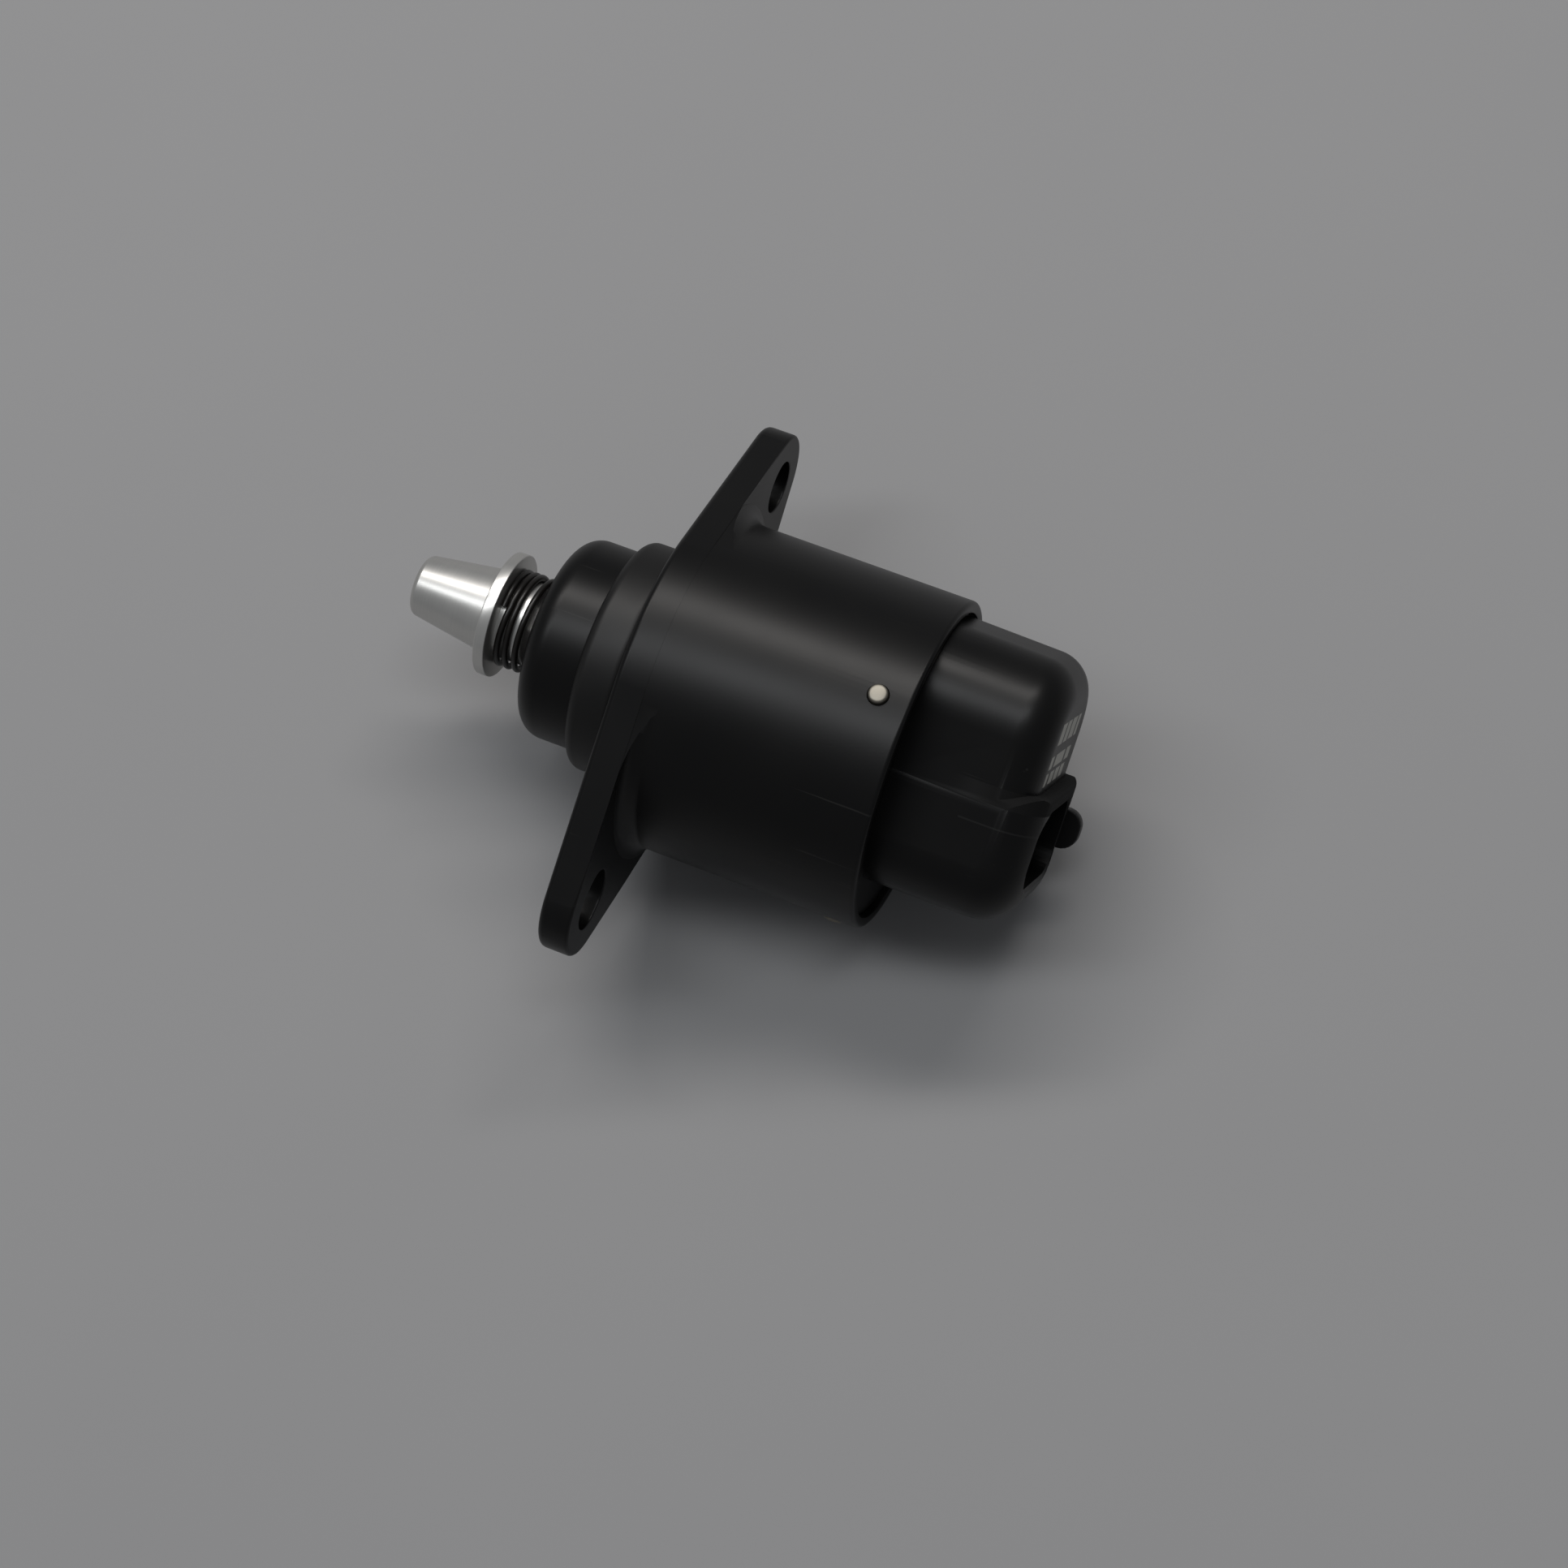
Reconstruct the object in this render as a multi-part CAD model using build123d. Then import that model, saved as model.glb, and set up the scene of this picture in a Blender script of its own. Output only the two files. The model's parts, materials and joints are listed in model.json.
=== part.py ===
from build123d import *
import math
import os

# Idle air control valve. Millimetres.
# Origin: centre of the flange's mounting face on the valve axis.
# +X runs back towards the connector, +Y along the flange ears, +Z up.

# Screw, spring and pintle
screw_r = 2.0
fit_gap = 0.05
loose_gap = 0.1
flat_half = 1.6
travel_out = 6.5
wire_w = 0.9
wire_t = 0.8
spring_r = 4.3
spring_turns = 7.25
spring_end_gap = 0.03
collar_r = 5.87
collar_t = 1.1
collar_gap = 4.4
neck_r = 3.6
neck_w = 0.2
cone_length = 7.7
cone_back_r = 4.0
tip_r = 2.35
tip_edge = 0.55
screw_grip = 4.7

# Rotor and its front bearing, built outwards from the screw
hub_wall = 0.95
journal_r = screw_r + fit_gap + hub_wall
race_wall = 0.7
race_w = 4.0
ball_space = 1.2
ball_clear = 0.02
ball_count = 7
inner_race_r = journal_r + race_wall
bearing_r = inner_race_r + ball_space + race_wall
clip_t = 0.5
clip_reach = 0.9
hub_step = 1.25
hub_r = journal_r + hub_step
magnet_wall = 2.35
magnet_r = hub_r + magnet_wall
rear_journal_r = journal_r - loose_gap
bush_wall = 1.65
bush_r = rear_journal_r + fit_gap + bush_wall
bush_length = 2.9
washer_t = 0.5
washer_gap = 0.15

# Nose, from its front to the tube's floor
nose_r = 9.5
nose_length = 10.6
nose_round = 2.2
spring_bore_depth = 5.6
spring_bore_gap = 0.45
wiper_t = 0.8
web_t = 0.8
web_gap = 0.4
guide_t = 1.8
guide_step = 0.6
seal_w = 4.4
seal_depth = 1.1
seal_proud = 1.4
seal_round = 1.0
land_t = 0.45
land_gap = 0.1
nose_front_x = -nose_length
spring_bore_r = spring_r + wire_w / 2 + spring_bore_gap
spring_seat_x = nose_front_x + spring_bore_depth
wiper_r = spring_r - wire_w / 2 - washer_gap
wiper_back_x = spring_seat_x + wiper_t
web_back_x = wiper_back_x + web_t
web_bore_r = screw_r + web_gap
guide_r = bearing_r - guide_step
bearing_front_x = web_back_x + guide_t
race_front_x = bearing_front_x + loose_gap
race_back_x = race_front_x + race_w
clip_front_x = race_back_x + loose_gap
tube_floor_x = clip_front_x + clip_t + loose_gap
seal_in_r = nose_r - seal_depth
seal_out_r = nose_r + seal_proud
seal_back_x = -land_t
seal_front_x = seal_back_x - seal_w
land_r = seal_out_r + land_gap

# Pintle, set off from the nose
collar_back_x = nose_front_x - collar_gap
collar_front_x = collar_back_x - collar_t
cone_back_x = collar_front_x - neck_w
tip_x = cone_back_x - cone_length
screw_front_x = cone_back_x - screw_grip
flat_end_x = bearing_front_x + travel_out + loose_gap

# Tube and flange
body_r = 15.5
tube_wall = 1.1
tube_bore_r = body_r - tube_wall
flange_t = 3.0
flange_edge = 0.3
ear_up_y = 20.7
ear_up_r = 5.0
ear_low_y = -22.2
ear_low_r = 5.4
hole_r = 2.45
slot_length = 5.7

# Stator, between the magnet and the tube
phase_w = 8.4
sheet = 0.8
air_gap = 0.35
claw_t = 0.75
claw_count = 6
claw_angle = 22.0
claw_end_gap = 0.2
bobbin_gap = 0.15
bobbin_wall = 0.75
bobbin_flange_t = 0.7
bobbin_rim_gap = 0.3
coil_inset = 0.5
cup_r = tube_bore_r - loose_gap
claw_in_r = magnet_r + air_gap
claw_out_r = claw_in_r + claw_t
claw_length = phase_w - 2 * sheet - claw_end_gap
bobbin_bore_r = claw_out_r + bobbin_gap
bobbin_core_r = bobbin_bore_r + bobbin_wall
bobbin_flange_r = cup_r - sheet - bobbin_rim_gap
coil_r = bobbin_flange_r - coil_inset
stator_mid_x = tube_floor_x + phase_w
stator_back_x = stator_mid_x + phase_w

# Rotor places along the axis
hub_start_gap = 0.4
magnet_gap = 0.6
magnet_end_gap = 0.3
hub_seat_x = tube_floor_x + hub_start_gap
bush_front_x = stator_back_x + loose_gap
bush_back_x = bush_front_x + bush_length
washer_front_x = bush_front_x - washer_gap - washer_t
hub_shoulder_x = washer_front_x - washer_gap
hub_back_x = bush_back_x - hub_start_gap
magnet_front_x = hub_seat_x + magnet_gap
magnet_back_x = hub_shoulder_x - magnet_end_gap
screw_back_x = hub_shoulder_x - magnet_end_gap

# Plug of the cap in the tube, with its seal and pins
plug_gap = 0.6
pin_inset = 1.6
pin_r = 0.9
pin_proud = 0.45
pin_bite = 2.1
pin_first = 91.5
pin_step = 116.5
pin_count = 3
cap_seal_w = 1.0
cap_seal_inset = 1.55
plug_land = 0.85
tube_lip = 0.65
plug_front_x = stator_back_x + plug_gap
pin_x = plug_front_x + pin_inset
cap_seal_x = pin_x + cap_seal_inset
plug_back_x = cap_seal_x + plug_land
tube_end_x = plug_back_x + tube_lip

# Rear cap, turned about the axis against the flange
clock = 120.0
cap_length = 12.5
cap_edge_gap = 0.6
cap_half_u = 9.4
cap_corner = 7.0
cap_draft = 0.25
cap_back_round = 3.5
cap_high_v = cap_edge_gap - tube_bore_r
cap_back_x = plug_back_x + cap_length

# Connector block, socket and latch tab
rim_step = 1.35
block_proud = 0.15
block_gap = 3.85
block_step = 0.2
block_top_v = -2.45
block_round = 4.2
block_corner = 2.2
block_low_corner = 5.8
block_plan_round = 4.4
socket_half_u = 6.5
socket_v0 = -0.85
socket_v1 = 6.35
socket_corner = 2.4
socket_depth = 9.6
latch_edge = 1.8
latch_t = 1.4
latch_v0 = 0.45
latch_v1 = 4.2
latch_reach = 1.45
latch_root = 2.0
latch_top_round = 1.5
latch_low_round = 1.6
block_half_u = cap_half_u + block_proud
latch_u = latch_edge - cap_half_u
cap_low_v = tube_bore_r - block_gap
block_low_v = cap_low_v - block_step
rim_x = cap_back_x + rim_step
socket_floor_x = rim_x - socket_depth
latch_x = rim_x + latch_reach

# Terminals: blades in the middle of the socket
blade_w = 0.9
blade_t = 0.7
blade_count = 4
blade_pitch = 2.8
blade_step_v = 8.8
blade_step_inset = 1.0
blade_tip_inset = 4.4
blade_v = (socket_v0 + socket_v1) / 2
blade_step_x = plug_back_x + blade_step_inset
blade_tip_x = rim_x - blade_tip_inset


def across(x, turn=0.0):
    """A sketch plane square to the axis at x, turned about the axis."""
    a = math.radians(turn)
    return Plane(origin=(x, 0, 0), x_dir=(0, math.cos(a), math.sin(a)), z_dir=(1, 0, 0))


def rod(x0, x1, r):
    return extrude(across(x0) * Circle(r), amount=x1 - x0)


def ring(x0, x1, r_in, r_out):
    return extrude(across(x0) * (Circle(r_out) - Circle(r_in)), amount=x1 - x0)


def turned(points):
    """A solid of revolution about X from (x, r) points."""
    line = Polyline([(x, r, 0) for x, r in points], close=True)
    return revolve(make_face(line), Axis.X, 360)


def box_uv(x0, x1, u0, u1, v0, v1):
    """A box in the cap's turned directions."""
    plane = across(x0, clock)
    face = plane * Pos((u0 + u1) / 2, (v0 + v1) / 2) * Rectangle(u1 - u0, v1 - v0)
    return extrude(face, amount=x1 - x0)


def ear_points(y, r):
    """Where the straight flanks leave the body's circle and meet an ear."""
    lean = math.acos((body_r - r) / abs(y))
    side = math.copysign(1, y)
    c = math.cos(lean) * side
    s = math.sin(lean)
    return (body_r * c, body_r * s), (y + r * c, r * s), (y + r * side, 0)


def ear_outline():
    """The flange outline: the body's circle with an ear drawn out each way."""
    up_body, up_ear, up_tip = ear_points(ear_up_y, ear_up_r)
    low_body, low_ear, low_tip = ear_points(ear_low_y, ear_low_r)
    edges = [
        ThreePointArc((up_ear[0], -up_ear[1]), up_tip, up_ear),
        Line(up_ear, up_body),
        ThreePointArc(up_body, (0, body_r), low_body),
        Line(low_body, low_ear),
        ThreePointArc(low_ear, low_tip, (low_ear[0], -low_ear[1])),
        Line((low_ear[0], -low_ear[1]), (low_body[0], -low_body[1])),
        ThreePointArc((low_body[0], -low_body[1]), (0, -body_r), (up_body[0], -up_body[1])),
        Line((up_body[0], -up_body[1]), (up_ear[0], -up_ear[1])),
    ]
    return make_face(edges)


def make_pins():
    """The radial pins through the tube wall into the cap's plug."""
    depth = tube_wall + pin_bite
    pins = []
    for i in range(pin_count):
        a = math.radians(pin_first + pin_step * i)
        out = Vector(0, math.cos(a), math.sin(a))
        foot = Plane(origin=Vector(pin_x, 0, 0) + out * (body_r - depth), x_dir=(1, 0, 0), z_dir=out)
        pins.append(extrude(foot * Circle(pin_r), amount=depth + pin_proud))
    return pins


def make_terminals():
    """Four contact blades, stepped sideways inside the cap wall."""
    blades = []
    for i in range(blade_count):
        u = (i - (blade_count - 1) / 2) * blade_pitch
        u0 = u - blade_w / 2
        u1 = u + blade_w / 2
        half = blade_t / 2
        front = box_uv(plug_front_x, blade_step_x, u0, u1, blade_step_v - half, blade_step_v + half)
        step = box_uv(blade_step_x - blade_t, blade_step_x, u0, u1, blade_v - half, blade_step_v + half)
        tip = box_uv(blade_step_x - blade_t, blade_tip_x, u0, u1, blade_v - half, blade_v + half)
        blades.append(front + step + tip)
    return blades


def make_housing(pins):
    """Nose, flange and tube in one moulding, bored from both ends."""
    plate = extrude(across(0) * ear_outline(), amount=flange_t)
    plate = chamfer(plate.faces().sort_by(Axis.X)[0].edges(), flange_edge)
    tube = rod(flange_t / 2, tube_end_x, body_r)
    nose = rod(nose_front_x, flange_t / 2, nose_r)
    nose = fillet(nose.edges().sort_by(Axis.X)[0], nose_round)
    land = rod(-land_t, flange_t / 2, land_r)
    solid = plate + tube + nose + land
    solid -= rod(nose_front_x, spring_seat_x, spring_bore_r)
    solid -= rod(spring_seat_x, wiper_back_x, wiper_r)
    solid -= rod(wiper_back_x, web_back_x, web_bore_r)
    solid -= rod(web_back_x, bearing_front_x, guide_r)
    solid -= rod(bearing_front_x, tube_floor_x, bearing_r)
    solid -= rod(tube_floor_x, tube_end_x, tube_bore_r)
    solid -= ring(seal_front_x, seal_back_x, seal_in_r, seal_out_r)
    solid -= extrude(across(-1) * Pos(ear_up_y, 0) * Circle(hole_r), amount=flange_t + 2)
    slot = SlotOverall(slot_length, 2 * hole_r)
    solid -= extrude(across(-1) * Pos(ear_low_y, 0) * slot, amount=flange_t + 2)
    for pin in pins:
        solid -= pin
    return solid


def make_seal():
    """The nose's seal: a broad rubber band with rounded outer edges."""
    band = ring(seal_front_x, seal_back_x, seal_in_r, seal_out_r)
    rims = band.edges().filter_by(GeomType.CIRCLE).sort_by(SortBy.RADIUS)[-2:]
    return fillet(rims, seal_round)


def make_pintle():
    """Turned cone with the spring collar, bored for the screw."""
    profile = [
        (tip_x, 0),
        (tip_x, tip_r),
        (tip_x + tip_edge, tip_r + tip_edge),
        (cone_back_x, cone_back_r),
        (cone_back_x, neck_r),
        (collar_front_x, neck_r),
        (collar_front_x, collar_r),
        (collar_back_x, collar_r),
        (collar_back_x, 0),
    ]
    return turned(profile) - rod(screw_front_x, collar_back_x, screw_r)


def flatted(x0, x1, r, half):
    """A rod with two flats, for the sliding guide."""
    return extrude(across(x0) * (Circle(r) & Rectangle(4 * r, 2 * half)), amount=x1 - x0)


def make_screw():
    screw = rod(screw_front_x, collar_back_x, screw_r)
    screw += flatted(collar_back_x, flat_end_x, screw_r, flat_half)
    return screw + rod(flat_end_x, screw_back_x, screw_r)


def make_spring():
    """The return spring as one swept flat wire between collar and seat."""
    start = collar_back_x + wire_t / 2 + spring_end_gap
    height = spring_seat_x - wire_t / 2 - spring_end_gap - start
    path = Plane.YZ.offset(start) * Helix(height / spring_turns, height, spring_r, lefthand=True)
    wire = Plane(origin=path @ 0, x_dir=(0, 1, 0), z_dir=path % 0) * Rectangle(wire_w, wire_t)
    return sweep(wire, path=path, is_frenet=True)


def make_balls():
    x = race_front_x + race_w / 2
    pitch_r = inner_race_r + ball_space / 2
    ball_r = ball_space / 2 - ball_clear
    balls = []
    for i in range(ball_count):
        a = 2 * math.pi * i / ball_count
        balls.append(Pos(x, pitch_r * math.cos(a), pitch_r * math.sin(a)) * Sphere(ball_r))
    return balls


def make_hub():
    hub = rod(race_front_x, hub_seat_x, journal_r)
    hub += rod(hub_seat_x, hub_shoulder_x, hub_r)
    hub += rod(hub_shoulder_x, hub_back_x, rear_journal_r)
    return hub - rod(race_front_x, hub_back_x, screw_r + fit_gap)


def claws(x0, x1, first):
    """Pole teeth: slices of a thin ring."""
    teeth = []
    for i in range(claw_count):
        middle = first + 360 * i / claw_count
        a0 = math.radians(middle - claw_angle / 2)
        a1 = math.radians(middle + claw_angle / 2)
        reach = 2 * claw_out_r
        wedge = Polygon(
            (0, 0),
            (reach * math.cos(a0), reach * math.sin(a0)),
            (reach * math.cos(a1), reach * math.sin(a1)),
            align=None,
        )
        band = Circle(claw_out_r) - Circle(claw_in_r)
        teeth.append(extrude(across(x0) * (band & wedge), amount=x1 - x0))
    return teeth


def make_stator(x0, x1, way):
    """One phase: outer cup, inner plate, bobbin and coil between x0 and x1."""
    if way > 0:
        cup_face = (x0, x0 + sheet)
        plate_face = (x1 - sheet, x1)
        cup_claw = (x0, x0 + sheet + claw_length)
        plate_claw = (x1 - sheet - claw_length, x1)
        wall = (x0, x1 - sheet)
    else:
        cup_face = (x1 - sheet, x1)
        plate_face = (x0, x0 + sheet)
        cup_claw = (x1 - sheet - claw_length, x1)
        plate_claw = (x0, x0 + sheet + claw_length)
        wall = (x0 + sheet, x1)
    cup = ring(*cup_face, claw_out_r, cup_r) + ring(*wall, cup_r - sheet, cup_r)
    for tooth in claws(*cup_claw, 0):
        cup += tooth
    plate = ring(*plate_face, claw_out_r, cup_r)
    for tooth in claws(*plate_claw, 180 / claw_count):
        plate += tooth
    a = x0 + sheet + fit_gap
    b = x1 - sheet - fit_gap
    bobbin = ring(a, b, bobbin_bore_r, bobbin_flange_r)
    bobbin -= ring(a + bobbin_flange_t, b - bobbin_flange_t, bobbin_core_r, bobbin_flange_r + 1)
    coil = ring(a + bobbin_flange_t, b - bobbin_flange_t, bobbin_core_r, coil_r)
    return cup, plate, bobbin, coil


def side_profile(outline, half):
    """Extrude an outline drawn in the cap's (x, v) plane, half each way along u."""
    a = math.radians(clock)
    u_dir = Vector(0, math.cos(a), math.sin(a))
    plane = Plane(origin=(0, 0, 0), x_dir=(1, 0, 0), z_dir=-u_dir)
    return extrude(plane * outline, amount=half, both=True)


def plan_profile(outline, half):
    """Extrude an outline drawn in the cap's (x, u) plane, half each way along v."""
    a = math.radians(clock)
    v_dir = Vector(0, -math.sin(a), math.cos(a))
    plane = Plane(origin=(0, 0, 0), x_dir=(1, 0, 0), z_dir=v_dir)
    return extrude(plane * outline, amount=half, both=True)


def make_cap(pins, blades):
    """Plug, turned box, connector block with socket, and the latch tab."""
    solid = rod(plug_front_x, plug_back_x, tube_bore_r)

    middle_v = (cap_high_v + cap_low_v) / 2
    rear = RectangleRounded(2 * cap_half_u, cap_low_v - cap_high_v, cap_corner)
    rear = Pos(0, middle_v) * rear
    box = extrude(across(plug_back_x, clock) * rear, amount=cap_back_x - plug_back_x)
    side = Polygon(
        (plug_front_x, cap_high_v),
        (cap_back_x, cap_high_v + cap_draft),
        (cap_back_x, cap_low_v - cap_draft),
        (plug_front_x, cap_low_v),
        align=None,
    )
    side = fillet(side.vertices().sort_by(Axis.X)[-2:], cap_back_round)
    box &= side_profile(side, 2 * cap_half_u)
    plan = Polygon(
        (plug_front_x, -cap_half_u),
        (cap_back_x, cap_draft - cap_half_u),
        (cap_back_x, cap_half_u - cap_draft),
        (plug_front_x, cap_half_u),
        align=None,
    )
    plan = fillet(plan.vertices().sort_by(Axis.X)[-2:], cap_back_round)
    box &= plan_profile(plan, 2 * tube_bore_r)

    rear = Rectangle(2 * block_half_u, block_low_v - block_top_v)
    rear = fillet(rear.vertices().sort_by(Axis.Y)[:2], block_corner)
    rear = fillet(rear.vertices().sort_by(Axis.Y)[-2:], block_low_corner)
    rear = Pos(0, (block_top_v + block_low_v) / 2) * rear
    block = extrude(across(plug_back_x, clock) * rear, amount=rim_x - plug_back_x)
    side = Polygon(
        (plug_back_x, block_top_v),
        (rim_x, block_top_v),
        (rim_x, block_low_v),
        (plug_back_x, block_low_v),
        align=None,
    )
    corner = side.vertices().sort_by(Axis.X)[-2:].sort_by(Axis.Y)[-1]
    side = fillet(corner, block_round)
    block &= side_profile(side, 2 * cap_half_u)
    plan = Polygon(
        (plug_back_x, -block_half_u),
        (rim_x, -block_half_u),
        (rim_x, block_half_u),
        (plug_back_x, block_half_u),
        align=None,
    )
    plan = fillet(plan.vertices().sort_by(Axis.X)[-2:], block_plan_round)
    block &= plan_profile(plan, 2 * tube_bore_r)
    solid += box + block

    tab = Polygon(
        (rim_x - latch_root, latch_v0),
        (latch_x, latch_v0),
        (latch_x, latch_v1),
        (rim_x - latch_root, latch_v1),
        align=None,
    )
    tab = fillet(tab.vertices().sort_by(Axis.X)[-2:].sort_by(Axis.Y)[-1], latch_low_round)
    tab = fillet(tab.vertices().sort_by(Axis.X)[-2:].sort_by(Axis.Y)[0], latch_top_round)
    a = math.radians(clock)
    lift = Vector(0, math.cos(a), math.sin(a)) * latch_u
    solid += Pos(lift) * side_profile(tab, latch_t / 2)

    socket = Pos(0, (socket_v0 + socket_v1) / 2)
    socket *= RectangleRounded(2 * socket_half_u, socket_v1 - socket_v0, socket_corner)
    solid -= extrude(across(socket_floor_x, clock) * socket, amount=rim_x - socket_floor_x)
    solid -= rod(plug_front_x, bush_back_x, bush_r)
    seal_half = cap_seal_w / 2
    solid -= ring(cap_seal_x - seal_half, cap_seal_x + seal_half, tube_bore_r - cap_seal_w, tube_bore_r + 1)
    for piece in pins + blades:
        solid -= piece
    return solid


os.makedirs("parts", exist_ok=True)

pins = make_pins()
blades = make_terminals()
cup_front, plate_front, spool_front, winding_front = make_stator(tube_floor_x, stator_mid_x, 1)
cup_rear, plate_rear, spool_rear, winding_rear = make_stator(stator_mid_x, stator_back_x, -1)
guide = rod(web_back_x, bearing_front_x, guide_r)
guide -= flatted(web_back_x, bearing_front_x, screw_r + fit_gap, flat_half + fit_gap)
seal_half = cap_seal_w / 2

nodes = {
    "flange_housing": make_housing(pins),
    "seal_ring": make_seal(),
    "pintle": make_pintle(),
    "lead_screw": make_screw(),
    "return_spring": make_spring(),
    "wiper_seal": ring(spring_seat_x, wiper_back_x, screw_r + loose_gap, wiper_r),
    "screw_guide": guide,
    "bearing_outer_race": ring(race_front_x, race_back_x, bearing_r - race_wall, bearing_r),
    "bearing_inner_race": ring(race_front_x, race_back_x, journal_r, inner_race_r),
    "bearing_balls": Compound(children=make_balls()),
    "bearing_clip": ring(clip_front_x, clip_front_x + clip_t, bearing_r - clip_reach, bearing_r),
    "rotor_hub": make_hub(),
    "rotor_magnet": ring(magnet_front_x, magnet_back_x, hub_r, magnet_r),
    "stator_cup_front": cup_front,
    "stator_plate_front": plate_front,
    "bobbin_front": spool_front,
    "coil_front": winding_front,
    "stator_cup_rear": cup_rear,
    "stator_plate_rear": plate_rear,
    "bobbin_rear": spool_rear,
    "coil_rear": winding_rear,
    "preload_washer": ring(
        washer_front_x, washer_front_x + washer_t, rear_journal_r + washer_gap, hub_r - loose_gap
    ),
    "rear_bush": ring(bush_front_x, bush_back_x, rear_journal_r + fit_gap, bush_r),
    "rear_cap": make_cap(pins, blades),
    "cap_seal": ring(cap_seal_x - seal_half, cap_seal_x + seal_half, tube_bore_r - cap_seal_w, tube_bore_r),
    "terminals": Compound(children=blades),
    "retaining_pins": Compound(children=pins),
}

for name, shape in nodes.items():
    export_step(shape, f"parts/{name}.step")
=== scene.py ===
# %% [markdown]
# # Idle air control valve
# The photograph shows a small stepper valve from an engine's air intake, lying on a grey table. A black
# moulded housing carries a flange with two ears, a rounded nose with a seal ring, and a tube for the
# motor. A turned aluminium pintle on a sprung screw comes out of the nose, and a moulded cap with the
# plug socket closes the tube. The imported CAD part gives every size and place. This file models the
# pieces that show again, with their real rounded edges, and gives every piece its finish.

import json
import math

import bmesh
import bpy
from mathutils import Matrix, Quaternion, Vector


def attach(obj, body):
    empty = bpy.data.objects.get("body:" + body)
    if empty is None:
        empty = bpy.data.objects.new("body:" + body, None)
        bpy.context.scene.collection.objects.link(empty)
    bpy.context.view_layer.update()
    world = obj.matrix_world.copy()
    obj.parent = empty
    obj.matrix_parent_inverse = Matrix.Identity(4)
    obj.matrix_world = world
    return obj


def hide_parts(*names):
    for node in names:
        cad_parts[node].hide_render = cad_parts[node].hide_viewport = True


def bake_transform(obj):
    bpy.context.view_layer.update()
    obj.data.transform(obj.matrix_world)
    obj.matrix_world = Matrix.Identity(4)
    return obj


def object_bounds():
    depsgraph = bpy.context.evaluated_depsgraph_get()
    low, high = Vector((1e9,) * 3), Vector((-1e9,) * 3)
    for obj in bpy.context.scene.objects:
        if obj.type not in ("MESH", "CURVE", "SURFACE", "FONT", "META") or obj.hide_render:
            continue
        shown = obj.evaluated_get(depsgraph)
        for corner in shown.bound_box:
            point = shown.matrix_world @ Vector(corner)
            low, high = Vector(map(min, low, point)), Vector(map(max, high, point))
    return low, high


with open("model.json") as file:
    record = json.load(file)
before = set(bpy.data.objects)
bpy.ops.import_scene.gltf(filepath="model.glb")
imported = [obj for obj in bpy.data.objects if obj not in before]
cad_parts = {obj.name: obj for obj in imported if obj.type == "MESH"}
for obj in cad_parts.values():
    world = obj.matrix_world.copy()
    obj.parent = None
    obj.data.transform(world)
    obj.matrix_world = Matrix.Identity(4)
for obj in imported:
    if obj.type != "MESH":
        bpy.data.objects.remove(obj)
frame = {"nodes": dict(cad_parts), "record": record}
start_low, start_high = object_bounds()
MM = 0.001
print("CAD size in mm", [round((b - a) / MM, 2) for a, b in zip(start_low, start_high)])

# %% [markdown]
# ## Selecting
# Edit-mode tools work on whatever is selected, so each step first deselects everything and then picks
# edges by where they are. Places are tested in millimetres, the unit of the part's drawing.


# %% Selecting helpers
def only(obj):
    """Leave one object selected and active."""
    bpy.ops.object.select_all(action="DESELECT")
    obj.select_set(True)
    bpy.context.view_layer.objects.active = obj


def bevel(obj, test, width, segments):
    """Round the edges whose two ends, in millimetres, pass a test."""
    only(obj)
    bpy.ops.object.mode_set(mode="EDIT")
    bpy.ops.mesh.select_mode(type="EDGE")
    bpy.ops.mesh.select_all(action="DESELECT")
    skin = bmesh.from_edit_mesh(obj.data)
    picked = [e for e in skin.edges if test(e.verts[0].co / MM, e.verts[1].co / MM)]
    for edge in picked:
        edge.select_set(True)
    bmesh.update_edit_mesh(obj.data)
    if picked:
        bpy.ops.mesh.bevel(offset=width * MM, segments=segments, affect="EDGES")
    bpy.ops.object.mode_set(mode="OBJECT")
    return len(picked)


def near(a, b, tolerance=0.02):
    return abs(a - b) < tolerance


def axis_distance(point):
    return math.hypot(point.y, point.z)


print("selecting helpers ready")

# %% [markdown]
# ## Turned pieces
# The nose, the tube and the pintle are round about the X axis. A lathe does the same job as Spin: a
# closed outline of (x, radius) points goes once round the axis. The outline starts as a circle with one
# vertex for each point. The doubled seam is merged afterwards, and the corners are rounded ring by ring.


# %% Turning helpers
def turn(name, points, closed=True, steps=192):
    """Spin an outline of (x, radius) points in millimetres about X."""
    bpy.ops.object.select_all(action="DESELECT")
    bpy.ops.mesh.primitive_circle_add(vertices=len(points))
    obj = bpy.context.object
    obj.name = name
    for vert, (x, r) in zip(obj.data.vertices, points):
        vert.co = (x * MM, r * MM, 0)
    bpy.ops.object.mode_set(mode="EDIT")
    if not closed:
        bpy.ops.mesh.select_all(action="DESELECT")
        skin = bmesh.from_edit_mesh(obj.data)
        for edge in skin.edges:
            edge.select_set({v.index for v in edge.verts} == {0, len(points) - 1})
        bmesh.update_edit_mesh(obj.data)
        bpy.ops.mesh.delete(type="EDGE_FACE")
    bpy.ops.mesh.select_all(action="SELECT")
    bpy.ops.mesh.spin(steps=steps, angle=2 * math.pi, center=(0, 0, 0), axis=(1, 0, 0))
    bpy.ops.mesh.select_all(action="SELECT")
    bpy.ops.mesh.remove_doubles(threshold=0.001 * MM)
    bpy.ops.mesh.normals_make_consistent(inside=False)
    bpy.ops.object.mode_set(mode="OBJECT")
    return obj


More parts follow.
